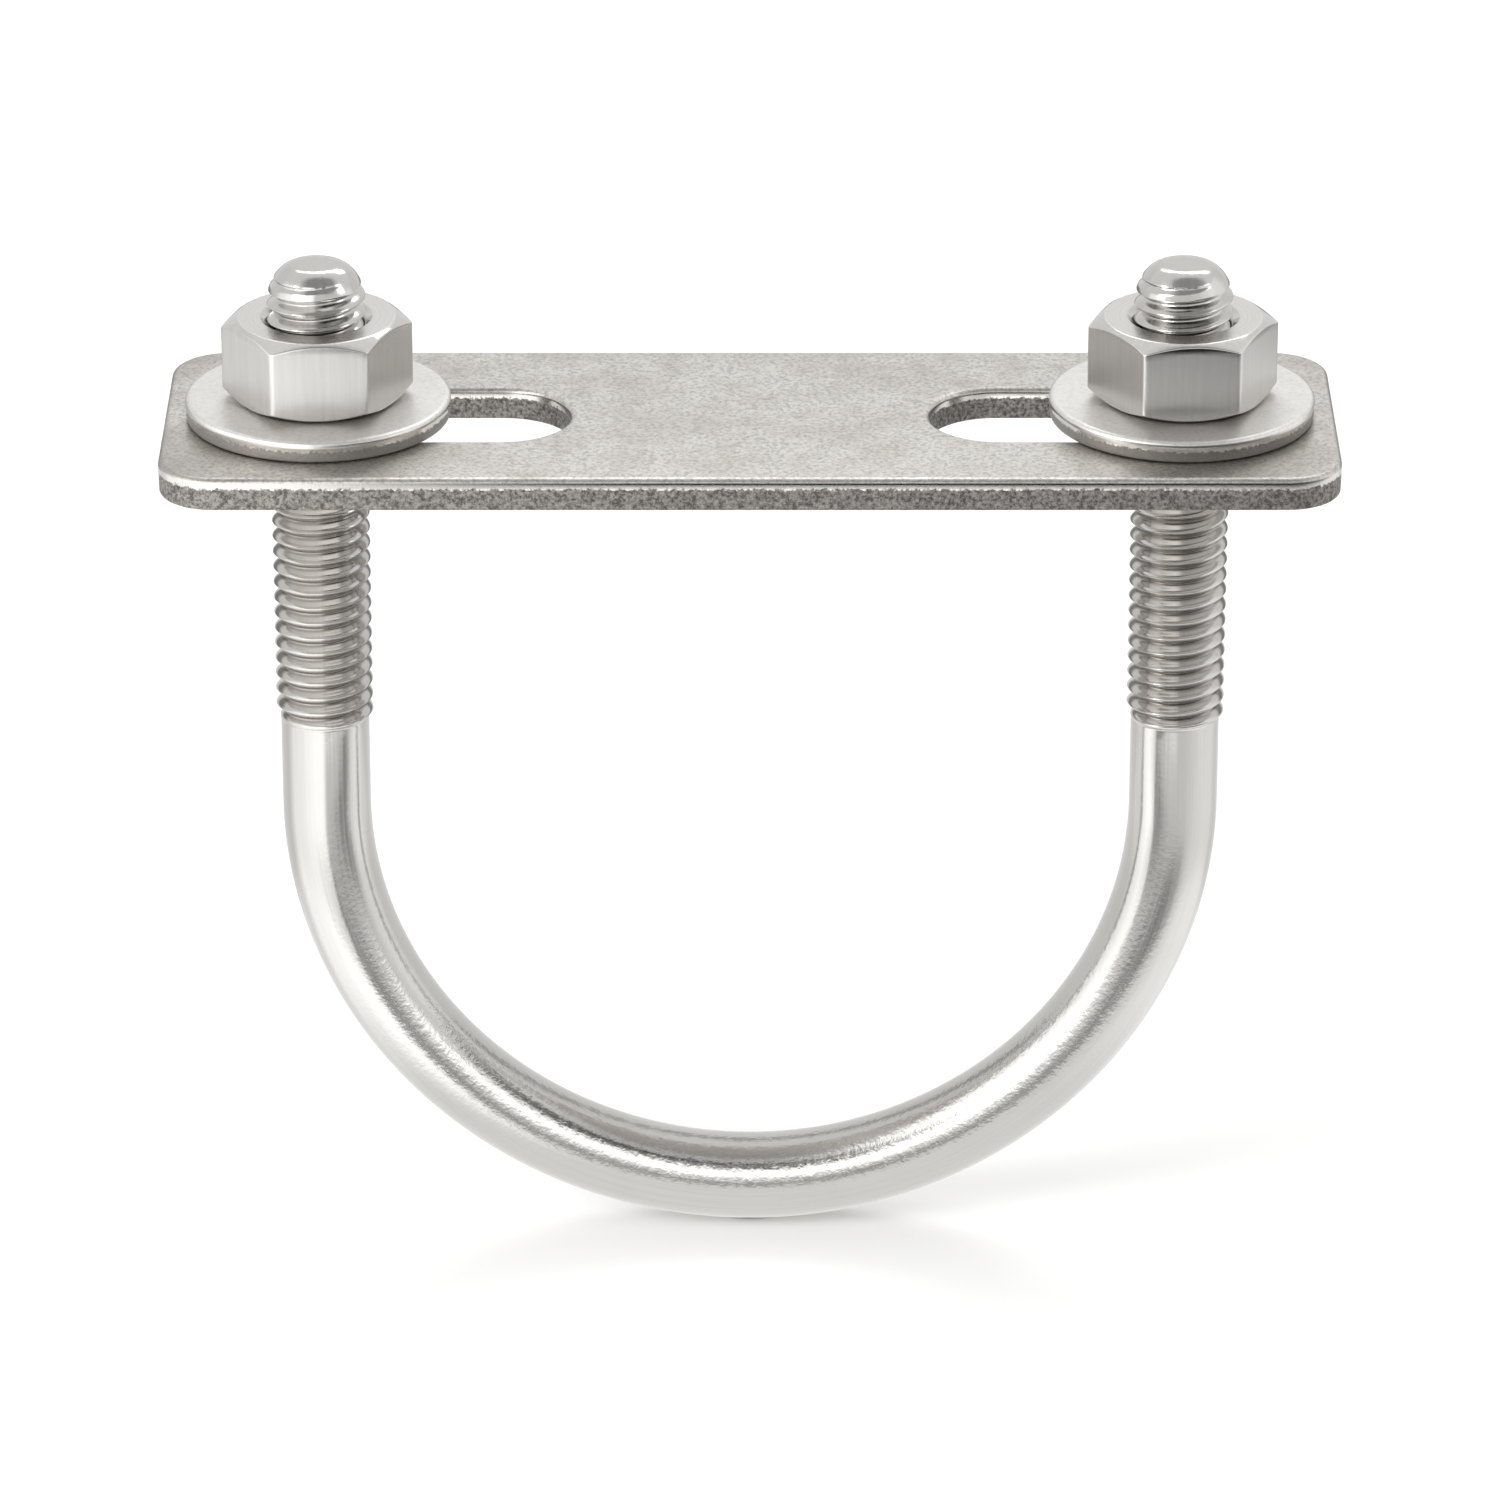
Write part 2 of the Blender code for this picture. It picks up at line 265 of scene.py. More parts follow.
def arc(centre, radius, start, end, count):
    """(points, unit directions from the centre) along an arc, leaving out its last point."""
    angle = np.radians(np.linspace(start, end, count + 1)[:-1])
    away = np.stack([np.cos(angle), np.sin(angle)], axis=-1)
    return np.array(centre) + radius * away, away


def straight(start, end, away, count):
    """(points, directions) along a straight side, leaving out its last point."""
    share = np.linspace(0, 1, count + 1)[:-1, None]
    points = np.array(start) * (1 - share) + np.array(end) * share
    return points, np.tile(np.array(away, dtype=float), (count, 1))


def half_plate(sizes):
    """The plate's right half as matched outlines of its slot and its rim, and which rim is wall.

    Quarter by quarter, the slot's end arc faces the short side and the corner, its straight
    side and other arc the long side, and the rest of that arc the plate's middle line.
    """
    end, side, corner = PLATE_HIGH[0], PLATE_HIGH[1], sizes.corner
    half_slot, reach = sizes.slot_width / 2, (sizes.slot_length - sizes.slot_width) / 2
    middle = LEG_X + sizes.slot_outward - sizes.slot_length / 2
    right, left = (middle + reach, 0), (middle - reach, 0)
    # where the rim's columns pass from the slot's straight side to its inner arc
    turned = half_slot + 0.42 * (middle - half_slot)
    rim = [
        straight((end, 0), (end, side - corner), (1, 0), 8),
        arc((end - corner, side - corner), corner, 0, 90, 12),
        straight((end - corner, side), (turned, side), (0, 1), 14),
        straight((turned, side), (0, side), (0, 1), 12),
        straight((0, side), (0, 0), (0, 0), 10),
    ]
    rim[-1][1][0] = (0, 1)
    hole = [
        arc(right, half_slot, 0, 40, 8),
        arc(right, half_slot, 40, 90, 12),
        straight((right[0], half_slot), (left[0], half_slot), (0, 1), 14),
        arc(left, half_slot, 90, 140, 12),
        arc(left, half_slot, 140, 180, 10),
    ]
    rim_points, rim_away = (np.concatenate(part) for part in zip(*rim))
    hole_points, hole_away = (np.concatenate(part) for part in zip(*hole))
    # the far quarter is the near one mirrored in the long axis and walked backwards
    rim_end, hole_end = np.array([[0.0, 0.0]]), np.array([[left[0] - half_slot, 0.0]])
    flip = np.array([1.0, -1.0])

    def whole(points, away, last, last_away):
        points = np.concatenate([points, last, (points * flip)[::-1]])
        away = np.concatenate([away, last_away, (away * flip)[::-1]])
        return points, away

    rim_points, rim_away = whole(rim_points, rim_away, rim_end, np.zeros((1, 2)))
    hole_points, hole_away = whole(hole_points, hole_away, hole_end, np.array([[-1.0, 0.0]]))
    on_middle = rim_points[:, 0] < WELD
    is_wall = ~(on_middle[1:] & on_middle[:-1])
    return (hole_points, hole_away), (rim_points, -rim_away), is_wall


def nut_angles(flats, fillet):
    """Angles round a nut with more of them at its corners, and its outer radius at each.

    A flat is at flats/2 / cos(angle from its middle). A corner is an arc of the fillet's
    radius, whose centre is (flats/2 - fillet) / cos 30 from the axis.
    """
    steps = np.array([0, 0.6, 1.2, 1.9, 3.2, 5.5, 9, 14, 19, 25])
    sector = np.concatenate([steps, 60 - steps[:0:-1]])
    from_corner = np.radians(np.concatenate([sector + 60 * k for k in range(6)] + [[360]]))
    off = from_corner % math.radians(60)
    off = np.minimum(off, math.radians(60) - off)
    half = flats / 2
    centre = (half - fillet) / math.cos(math.radians(30))
    tangent = math.atan2(fillet / 2, centre + fillet * math.cos(math.radians(30)))
    rounding = centre * np.cos(off) + np.sqrt(
        np.maximum(fillet ** 2 - (centre * np.sin(off)) ** 2, 0))
    flat = half / np.cos(math.radians(30) - off)
    return from_corner, np.where(off < tangent, rounding, flat)


def eased_corner(point, back, on, steps=5):
    """Rows round a corner: the curve from point+back to point+on that leans on point.

    point + (1-t)^2 * back + t^2 * on, for t from 0 to 1.
    """
    t = np.linspace(0, 1, steps)[:, None]
    rows = []
    for centre, away, onward in zip(point, back, on):
        rows.append(centre + (1 - t) ** 2 * away + t ** 2 * onward)
    return rows


def nut_patches(sizes, x, low):
    """A nut's outside and its threaded hole.

    Outside, each row is a radius and a height round the nut: the face, a cone of 30 degrees
    that takes the corners off, the flats, and the same again below, with each edge eased.
    Inside, the thread is the bolt's plus a clearance, opened by a cone of 45 degrees at
    each mouth: the radius is the greater of the two.
    """
    height = NUT_HIGH[2] - NUT_LOW[2]
    from_corner, outer = nut_angles(sizes.flats, sizes.corner_fillet)
    angles = from_corner + sizes.turned
    mouth, face = sizes.mouth_diameter / 2, sizes.face_share * sizes.flats / 2
    lean = math.tan(math.radians(30))
    ones = np.ones_like(outer)
    ease_by = sizes.edge_ease
    along_cone = np.array([math.cos(math.radians(30)), -math.sin(math.radians(30))]) * ease_by
    upper_edge = height - (outer - face) * lean
    face_edge = eased_corner((face * ones, height * ones), (-ease_by, 0), along_cone)
    flat_edge = eased_corner((outer, upper_edge), -along_cone, (0, -ease_by))
    flat_share = np.linspace(0, 1, 6)[1:, None]
    start, middle = flat_edge[1][-1], height / 2
    upper_radius = np.concatenate([
        (mouth * ones)[None], ((mouth + 0.03 * MM) * ones)[None],
        face_edge[0], flat_edge[0], np.tile(outer, (5, 1)),
    ])
    upper_height = np.concatenate([
        (height * ones)[None], (height * ones)[None],
        face_edge[1], flat_edge[1], start * (1 - flat_share) + middle * flat_share,
    ])
    radius = np.concatenate([upper_radius, upper_radius[-2::-1]])
    rise = np.concatenate([upper_height, height - upper_height[-2::-1]])
    walk = np.cumsum(np.abs(np.diff(radius[:, 0], prepend=radius[0, 0])))
    around = np.broadcast_to(angles * face, radius.shape)
    uv = np.stack([around, np.broadcast_to(walk[:, None], radius.shape)], axis=-1)
    yield patch(round_points(radius, angles[None, :], rise + low, x), uv)

    pitch = sizes.pitch
    depth = THREAD_DEPTH_PER_PITCH * pitch
    phase, level, angle = screw_grid(angles, low, low + height, pitch)
    root = sizes.thread_diameter / 2 + sizes.clearance
    tapped = root - depth * (1 - thread_rise(phase, depth, pitch))
    opened = mouth - np.minimum(level - low, low + height - level)
    hole = np.maximum(tapped, opened)
    yield patch(round_points(hole, angle, level, x), np.stack([angle * root, level], axis=-1))


# ---------------------------------------------------------------- meshes

def patch(points, uv, keep=None):
    """A grid of points with its UV in metres, and which of its quads to keep."""
    return points, uv, keep


def grid_quads(rows, columns, first, keep):
    """The quads between neighbours in a rows x columns grid, numbered from first."""
    row, column = np.meshgrid(np.arange(rows - 1), np.arange(columns - 1), indexing="ij")
    corner = first + row * columns + column
    quads = np.stack([corner, corner + 1, corner + columns + 1, corner + columns], axis=-1)
    return quads.reshape(-1, 4) if keep is None else quads[keep]


def make_piece(name, patches, material, sharp=38):
    """One closed mesh from patches: their quads, welded where they meet, faces outwards."""
    points, uvs, quads, count = [], [], [], 0
    for grid, uv, keep in patches:
        rows, columns = grid.shape[:2]
        quads.append(grid_quads(rows, columns, count, keep))
        points.append(grid.reshape(-1, 3))
        uvs.append(uv.reshape(-1, 2))
        count += rows * columns
    points, uvs, quads = (np.concatenate(part) for part in (points, uvs, quads))
    mesh = bpy.data.meshes.new(name)
    mesh.from_pydata(points, [], quads)
    layer = mesh.uv_layers.new(name="surface")
    layer.data.foreach_set("uv", (uvs[quads.ravel()] / MM).ravel())
    bm = bmesh.new()
    bm.from_mesh(mesh)
    bmesh.ops.remove_doubles(bm, verts=bm.verts, dist=WELD)
    bmesh.ops.dissolve_degenerate(bm, edges=bm.edges, dist=WELD / 2)
    bmesh.ops.recalc_face_normals(bm, faces=bm.faces)
    open_edges = sum(1 for edge in bm.edges if not edge.is_manifold)
    bm.to_mesh(mesh)
    bm.free()
    if open_edges:
        raise RuntimeError(f"{name} has {open_edges} edges that aren't closed")
    mesh.shade_smooth()
    mesh.set_sharp_from_angle(angle=math.radians(sharp))
    mesh.materials.append(material)
    piece = bpy.data.objects.new(name, mesh)
    bpy.context.scene.collection.objects.link(piece)
    return piece


# ---------------------------------------------------------------- finishes

def linear(hex_colour):
    """An sRGB hex colour as linear red, green and blue."""
    values = np.array([int(hex_colour[k:k + 2], 16) for k in (1, 3, 5)]) / 255
    return tuple(np.where(values <= 0.04045, values / 12.92, ((values + 0.055) / 1.055) ** 2.4))


def add_node(tree, kind, inputs=(), **settings):
    """Adds a node. inputs maps a socket to a value, or to the output that feeds it."""
    node = tree.nodes.new("ShaderNode" + kind)
    for key, value in settings.items():
        setattr(node, key, value)
    for key, value in dict(inputs).items():
        if isinstance(value, bpy.types.NodeSocket):
            tree.links.new(value, node.inputs[key])
        else:
            node.inputs[key].default_value = value
    return node


def per_mm(millimetres):
    """The scale that makes a pattern's cell this wide on Object coordinates, in metres."""
    return 1 / (millimetres * MM)


def new_finish(name, colour, roughness):
    """A metal's material, its tree, its shader, and its Object and UV coordinates."""
    material = bpy.data.materials.new(name)
    material.use_nodes = True
    tree = material.node_tree
    shader = tree.nodes["Principled BSDF"]
    shader.inputs["Metallic"].default_value = 1.0
    shader.inputs["Base Color"].default_value = (*colour, 1)
    shader.inputs["Roughness"].default_value = roughness
    coordinates = add_node(tree, "TexCoord")
    return material, tree, shader, coordinates


def drawn_rod(colour):
    """304 stainless rod, cold drawn, bent cold and its thread rolled.

    Drawing leaves fine lines along the rod, and bending roughens its skin like orange peel,
    so the legs look silky and the bend sparkles. Rolled crests are burnished, and the
    roots are a little rougher and darkened with painted shade.
    """
    material, tree, shader, coordinates = new_finish("drawn_stainless_rod", colour, 0.24)
    place = coordinates.outputs["Object"]
    # drawing lines 0.02 mm apart are too fine to show, so they are drawn 0.16 mm apart
    stretched = add_node(tree, "Mapping", {
        "Vector": coordinates.outputs["UV"], "Scale": (1 / 0.16, 1 / 14, 1)})
    lines = add_node(tree, "TexNoise", {
        "Vector": stretched.outputs[0], "Scale": 1.0, "Detail": 3.0, "Roughness": 0.6},
        noise_dimensions="2D")
    peel = add_node(tree, "TexNoise", {
        "Vector": place, "Scale": per_mm(0.32), "Detail": 2.5, "Roughness": 0.6})
    clouds = add_node(tree, "TexNoise", {
        "Vector": place, "Scale": per_mm(5.5), "Detail": 3.0, "Roughness": 0.55})
    parts = add_node(tree, "SeparateXYZ", {0: place})
    bent = add_node(tree, "MapRange", {
        "Value": parts.outputs["Z"], "From Min": 1 * MM, "From Max": -20 * MM,
        "To Min": 0.12, "To Max": 1.0}, interpolation_type="SMOOTHSTEP")
    # how far from the axis of the nearer leg: roots get painted shade and more roughness, crests stay
    # bright
    folded = add_node(tree, "VectorMath", {0: place}, operation="ABSOLUTE")
    from_leg = add_node(tree, "VectorMath", {
        0: folded.outputs[0], 1: (LEG_X, 0, 0)}, operation="SUBTRACT")
    level = add_node(tree, "VectorMath", {
        0: from_leg.outputs[0], 1: (1, 1, 0)}, operation="MULTIPLY")
    radius = add_node(tree, "VectorMath", {0: level.outputs[0]}, operation="LENGTH")
    root = add_node(tree, "MapRange", {
        "Value": radius.outputs["Value"], "From Min": 2.40 * MM, "From Max": 2.62 * MM,
        "To Min": 1.0, "To Max": 0.0}, interpolation_type="SMOOTHSTEP")
    on_leg = add_node(tree, "MapRange", {
        "Value": parts.outputs["Z"], "From Min": 5.6 * MM, "From Max": 6.2 * MM})
    under_tip = add_node(tree, "MapRange", {
        "Value": parts.outputs["Z"], "From Min": BOLT_HIGH[2] - 2.6 * MM,
        "From Max": BOLT_HIGH[2] - 3.2 * MM})
    threaded = add_node(tree, "Math", {
        0: on_leg.outputs[0], 1: under_tip.outputs[0]}, operation="MINIMUM")
    root_shade_and_dull = add_node(tree, "Math", {
        0: root.outputs[0], 1: threaded.outputs[0]}, operation="MULTIPLY")
    # colour: silky streaks, faint warm clouds, painted shade in the roots
    streaks = add_node(tree, "Mix", {
        "Factor": lines.outputs[0], 6: (*(0.90 * c for c in colour), 1), 7: (*colour, 1)},
        data_type="RGBA")
    warm = add_node(tree, "MapRange", {
        "Value": clouds.outputs[0], "From Min": 0.45, "From Max": 0.75, "To Max": 0.35})
    clouded = add_node(tree, "Mix", {
        "Factor": warm.outputs[0], 6: streaks.outputs[2], 7: (*linear("#BBB8B2"), 1)},
        data_type="RGBA")
    # painted shade: the thread roots are darkened towards #94908B
    root_shaded = add_node(tree, "Mix", {
        "Factor": root_shade_and_dull.outputs[0], 6: clouded.outputs[2], 7: (*linear("#94908B"), 1)},
        data_type="RGBA")
    tree.links.new(root_shaded.outputs[2], shader.inputs["Base Color"])
    grain = add_node(tree, "MapRange", {
        "Value": lines.outputs[0], "From Min": 0.3, "From Max": 0.7,
        "To Min": 0.12, "To Max": 0.18})
    rougher = add_node(tree, "Math", {
        0: bent.outputs[0], 1: 0.05, 2: grain.outputs[0]}, operation="MULTIPLY_ADD")
    rough = add_node(tree, "Math", {
        0: root_shade_and_dull.outputs[0], 1: 0.05, 2: rougher.outputs[0]}, operation="MULTIPLY_ADD")
    tree.links.new(rough.outputs[0], shader.inputs["Roughness"])
    drawn = add_node(tree, "Bump", {
        "Height": lines.outputs[0], "Strength": 0.10, "Distance": 0.02 * MM})
    peeled = add_node(tree, "Bump", {
        "Height": peel.outputs[0], "Strength": bent.outputs[0], "Distance": 0.028 * MM,
        "Normal": drawn.outputs[0]})
    tree.links.new(peeled.outputs[0], shader.inputs["Normal"])
    return material


def stamped_sheet_steel(name, colour, roughness, speck, mottle, smudge, tear):
    """304 stainless sheet, stamped and tumbled.

    Tumbling with grit leaves a soft satin face, evenly speckled and faintly mottled. The
    punched wall has a bright burnished band above and a dark grainy torn one below.
    """
    material, tree, shader, coordinates = new_finish(name, colour, roughness)
    place = coordinates.outputs["Object"]
    # grit marks are about 0.03 mm wide and are drawn some 0.1 mm wide, to show
    speckle = add_node(tree, "TexNoise", {
        "Vector": place, "Scale": per_mm(0.26), "Detail": 3.0, "Roughness": 0.7})
    clouds = add_node(tree, "TexNoise", {
        "Vector": place, "Scale": per_mm(4.2), "Detail": 5.0, "Roughness": 0.65})
    patches = add_node(tree, "TexNoise", {
        "Vector": place, "Scale": per_mm(15), "Detail": 2.0, "Roughness": 0.5})
    edge = add_node(tree, "SeparateXYZ", {0: coordinates.outputs["UV"]})
    burnished = add_node(tree, "MapRange", {
        "Value": edge.outputs["Y"], "From Min": 0.16, "From Max": 0.30},
        interpolation_type="SMOOTHSTEP")
    ragged = add_node(tree, "Math", {
        0: speckle.outputs[0], 1: 0.7, 2: edge.outputs["Y"]}, operation="MULTIPLY_ADD")
    torn = add_node(tree, "MapRange", {
        "Value": ragged.outputs[0], "From Min": 0.90, "From Max": 1.02},
        interpolation_type="SMOOTHSTEP")
    # colour
    spotted = add_node(tree, "MapRange", {
        "Value": speckle.outputs[0], "From Min": 0.44, "From Max": 0.66, "To Max": speck})
    specks = add_node(tree, "Mix", {
        "Factor": spotted.outputs[0], 6: (*colour, 1),
        7: (*(0.45 * c for c in colour), 1)}, data_type="RGBA")
    cloudy = add_node(tree, "MapRange", {
        "Value": clouds.outputs[0], "From Min": 0.42, "From Max": 0.72, "To Max": mottle})
    mottled = add_node(tree, "Mix", {
        "Factor": cloudy.outputs[0], 6: specks.outputs[2], 7: (*linear("#97928B"), 1)},
        data_type="RGBA")
    # the short ends were handled and are a little smudged
    far = add_node(tree, "SeparateXYZ", {0: place})
    outward = add_node(tree, "Math", {0: far.outputs["X"]}, operation="ABSOLUTE")
    near_end = add_node(tree, "MapRange", {
        "Value": outward.outputs[0], "From Min": 27 * MM, "From Max": 36 * MM})
    patchy = add_node(tree, "MapRange", {
        "Value": patches.outputs[0], "From Min": 0.40, "From Max": 0.65, "To Max": smudge})
    smudges = add_node(tree, "Math", {
        0: near_end.outputs[0], 1: patchy.outputs[0]}, operation="MULTIPLY")
    smudged = add_node(tree, "Mix", {
        "Factor": smudges.outputs[0], 6: mottled.outputs[2], 7: (*linear("#7E7973"), 1)},
        data_type="RGBA")
    bright = add_node(tree, "Mix", {
        "Factor": burnished.outputs[0], 6: smudged.outputs[2], 7: (*linear("#CFCCC7"), 1)},
        data_type="RGBA")
    crumbs = add_node(tree, "TexNoise", {
        "Vector": place, "Scale": per_mm(0.22), "Detail": 3.0, "Roughness": 0.7})
    crumbled = add_node(tree, "MapRange", {
        "Value": crumbs.outputs[0], "From Min": 0.38, "From Max": 0.62})
    tear_colour = add_node(tree, "Mix", {
        "Factor": crumbled.outputs[0], 6: (*linear(tear), 1), 7: (*linear("#96938E"), 1)},
        data_type="RGBA")
    torn_colour = add_node(tree, "Mix", {
        "Factor": torn.outputs[0], 6: bright.outputs[2], 7: tear_colour.outputs[2]},
        data_type="RGBA")
    tree.links.new(torn_colour.outputs[2], shader.inputs["Base Color"])
    # roughness
    satin = add_node(tree, "MapRange", {
        "Value": clouds.outputs[0], "From Min": 0.3, "From Max": 0.7,
        "To Min": roughness - 0.05, "To Max": roughness + 0.06})
    shiny = add_node(tree, "Mix", {
        "Factor": burnished.outputs[0], 2: satin.outputs[0], 3: 0.20}, data_type="FLOAT")
    rough = add_node(tree, "Mix", {
        "Factor": torn.outputs[0], 2: shiny.outputs[0], 3: 0.55}, data_type="FLOAT")
    tree.links.new(rough.outputs[0], shader.inputs["Roughness"])
    # bump: grit all over, and a coarser tear low on the wall
    grit = add_node(tree, "Bump", {
        "Height": speckle.outputs[0], "Strength": 0.45, "Distance": 0.012 * MM})
    crumbly = add_node(tree, "Bump", {
        "Height": crumbs.outputs[0], "Strength": torn.outputs[0], "Distance": 0.04 * MM,
        "Normal": grit.outputs[0]})
    tree.links.new(crumbly.outputs[0], shader.inputs["Normal"])
    return material


def turned_nut_steel(name, colour, x, low, high):
    """304 stainless hexagon bar, drawn, its faces turned and its hole tapped.

    The faces keep the tool's rings, the flats the bar's faint upright lines, and the
    chamfers and the thread are bright cuts. The hole's colour is darkened with painted shade.
    """
    material, tree, shader, coordinates = new_finish(name, colour, 0.2)
    place = coordinates.outputs["Object"]
    about = add_node(tree, "VectorMath", {0: place, 1: (x, 0, 0)}, operation="SUBTRACT")
    level = add_node(tree, "VectorMath", {
        0: about.outputs[0], 1: (1, 1, 0)}, operation="MULTIPLY")
    radius = add_node(tree, "VectorMath", {0: level.outputs[0]}, operation="LENGTH")
    parts = add_node(tree, "SeparateXYZ", {0: place})
    above_middle = add_node(tree, "Math", {
        0: parts.outputs["Z"], 1: (low + high) / 2}, operation="SUBTRACT")
    from_middle = add_node(tree, "Math", {0: above_middle.outputs[0]}, operation="ABSOLUTE")
    half = (high - low) / 2
    on_face = add_node(tree, "MapRange", {
        "Value": from_middle.outputs[0], "From Min": half - 0.04 * MM,
        "From Max": half - 0.01 * MM})
    # the tool's rings are 0.05 mm apart and are drawn 0.14 mm apart, to show
    rings = add_node(tree, "TexNoise", {
        "W": radius.outputs["Value"], "Scale": per_mm(0.14), "Detail": 2.0, "Roughness": 0.6},
        noise_dimensions="1D")
    upright = add_node(tree, "Mapping", {
        "Vector": place, "Scale": (per_mm(0.30), per_mm(0.30), per_mm(5))})
    bar = add_node(tree, "TexNoise", {
        "Vector": upright.outputs[0], "Scale": 1.0, "Detail": 3.0, "Roughness": 0.6})
    grain = add_node(tree, "TexNoise", {
        "Vector": place, "Scale": per_mm(0.30), "Detail": 3.0, "Roughness": 0.65})
    marks = add_node(tree, "Mix", {
        "Factor": on_face.outputs[0], 2: bar.outputs[0], 3: rings.outputs[0]},
        data_type="FLOAT")
    shade = add_node(tree, "MapRange", {
        "Value": marks.outputs[0], "From Min": 0.3, "From Max": 0.7, "To Max": 0.55})
    lined = add_node(tree, "Mix", {
        "Factor": shade.outputs[0], 6: (*colour, 1), 7: (*(0.86 * c for c in colour), 1)},
        data_type="RGBA")
    # painted shade: the threaded hole is darkened to #B4AFA8
    in_hole = add_node(tree, "MapRange", {
        "Value": radius.outputs["Value"], "From Min": 3.1 * MM, "From Max": 2.9 * MM})
    hole_shaded = add_node(tree, "Mix", {
        "Factor": in_hole.outputs[0], 6: lined.outputs[2], 7: (*linear("#B4AFA8"), 1)},
        data_type="RGBA")
    tree.links.new(hole_shaded.outputs[2], shader.inputs["Base Color"])
    cone = add_node(tree, "MapRange", {
        "Value": from_middle.outputs[0], "From Min": half - 0.6 * MM,
        "From Max": half - 0.3 * MM, "To Min": 0.30, "To Max": 0.12})
    rough = add_node(tree, "Mix", {
        "Factor": on_face.outputs[0], 2: cone.outputs[0], 3: 0.27}, data_type="FLOAT")
    tree.links.new(rough.outputs[0], shader.inputs["Roughness"])
    scored = add_node(tree, "Bump", {
        "Height": marks.outputs[0], "Strength": 0.30, "Distance": 0.008 * MM})
    grained = add_node(tree, "Bump", {
        "Height": grain.outputs[0], "Strength": 0.35, "Distance": 0.010 * MM,
        "Normal": scored.outputs[0]})
    tree.links.new(grained.outputs[0], shader.inputs["Normal"])
    return material


# ---------------------------------------------------------------- settings

def length(name, description, default):
    """A length that the user can change."""
    return FloatProperty(name=name, description=description, default=default, min=0,
                         unit="LENGTH", subtype="DISTANCE", precision=5)


def tint(name, description, hex_colour):
    """A colour that the user can change."""
    return FloatVectorProperty(name=name, description=description, subtype="COLOR",
                               size=3, min=0, max=1, default=linear(hex_colour))


class BoltSettings(PropertyGroup):
    thread_diameter: length("Thread", "Outside diameter of the thread", 6.0 * MM)
    pitch: length("Pitch", "Distance from one thread to the next", 1.0 * MM)
    shank_diameter: length("Rod", "Diameter of the plain rod", 5.4 * MM)
    thread_start: length("Thread start", "Height above the pipe's axis where thread begins", 5.5 * MM)
    run_out: length("Run-out", "Length over which the thread grows to its full depth", 0.55 * MM)
    tip_flat: length("Tip flat", "Width of the flat on each tip", 2.4 * MM)
    tip_dome: length("Tip dome", "How far down each tip is rounded", 2.6 * MM)
    colour: tint("Colour", "Colour of the drawn rod", "#C8C6C3")


class PlateSettings(PropertyGroup):
    corner: length("Corner", "Radius of the plate's corners", 3.4 * MM)
    slot_length: length("Slot length", "Length of each slot over its round ends", 18.6 * MM)
    slot_width: length("Slot width", "Width of each slot", 8.4 * MM)
    slot_outward: length("Slot end", "From a leg's axis to the slot's outer end", 3.4 * MM)
    roll: length("Edge", "How far the punch rounds the upper edge", 0.42 * MM)
    colour: tint("Colour", "Colour of the tumbled plate", "#D1CEC9")


class WasherSettings(PropertyGroup):
    bore: length("Bore", "Diameter of the hole", 6.3 * MM)
    roll: length("Edge", "How far the punch rounds the upper edge", 0.34 * MM)
    colour: tint("Colour", "Colour of the tumbled washers", "#DCDAD7")


class NutSettings(PropertyGroup):
    flats: length("Across flats", "Width across the flats", 10.0 * MM)
    corner_fillet: length("Corner", "Radius of the upright corners", 0.3 * MM)
    edge_ease: length("Edge", "How far the edges are eased", 0.09 * MM)
    mouth_diameter: length("Mouth", "Diameter of the countersink at each face", 6.74 * MM)
    clearance: length("Clearance", "Between the nut's thread and the bolt's", 0.15 * MM)
    thread_diameter: length("Thread", "Outside diameter of the bolt's thread", 6.0 * MM)
    pitch: length("Pitch", "Distance from one thread to the next", 1.0 * MM)
    face_share: FloatProperty(
        name="Face", description="Width of the round face as a share of the flats",
        default=0.95, min=0.7, max=1.0, subtype="FACTOR")
    turned: FloatProperty(
        name="Turned", description="How far a flat stands from square to the plate",
        default=math.radians(4), unit="ROTATION", subtype="ANGLE")
    colour: tint("Colour", "Colour of the turned nuts", "#CFCDCA")


class StudioSettings(PropertyGroup):
    elevation: FloatProperty(
        name="Camera height", description="Angle that the camera looks down at",
        default=math.radians(24), unit="ROTATION", subtype="ANGLE")
    distance: length("Camera distance", "From the camera to the middle of the set", 0.52)
    width: length("View width", "Width that the camera sees at the set", 0.092)
    floor: tint("Floor", "Colour of the floor", "#F4F4F3")
    brightness: FloatProperty(
        name="Brightness", description="Brightness of the softboxes", default=1.0, min=0)


# ---------------------------------------------------------------- operators

class BuildBolt(Operator):
    """Makes the bent rod with its two threaded legs"""
    bl_idname = "u_bolt.build_bolt"
    bl_label = "Build bolt"

    def execute(self, context):
        sizes = context.scene.bolt_settings
        patches = [shank_patch(sizes), *leg_patches(sizes, -LEG_X), *leg_patches(sizes, LEG_X)]
        bolt = make_piece("bent_bolt", patches, drawn_rod(tuple(sizes.colour)))
        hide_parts("u_bolt")
        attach(bolt, "u_bolt")
        return {"FINISHED"}


class BuildPlate(Operator):
    """Makes the stamped plate with its two slots"""
    bl_idname = "u_bolt.build_plate"
    bl_label = "Build plate"

    def execute(self, context):
        sizes = context.scene.plate_settings
        hole, rim, is_wall = half_plate(sizes)
        thickness = PLATE_HIGH[2] - PLATE_LOW[2]
        right = stamped_sheet(hole, rim, PLATE_LOW[2], thickness, sizes.roll, is_wall)
        points, uv, keep = right
        left = patch(points * np.array([-1.0, 1.0, 1.0]), uv, keep)
        finish = stamped_sheet_steel(
            "tumbled_stainless_plate", tuple(sizes.colour), 0.33,
            speck=0.75, mottle=0.55, smudge=0.75, tear="#575451")
        plate = make_piece("stamped_plate", [right, left], finish)
        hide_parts("slotted_plate")
        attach(plate, "plate")
        return {"FINISHED"}


def washer_seat():
    """Height of the washers' undersides, pressed onto the plate."""
    return PLATE_HIGH[2] + SEATED


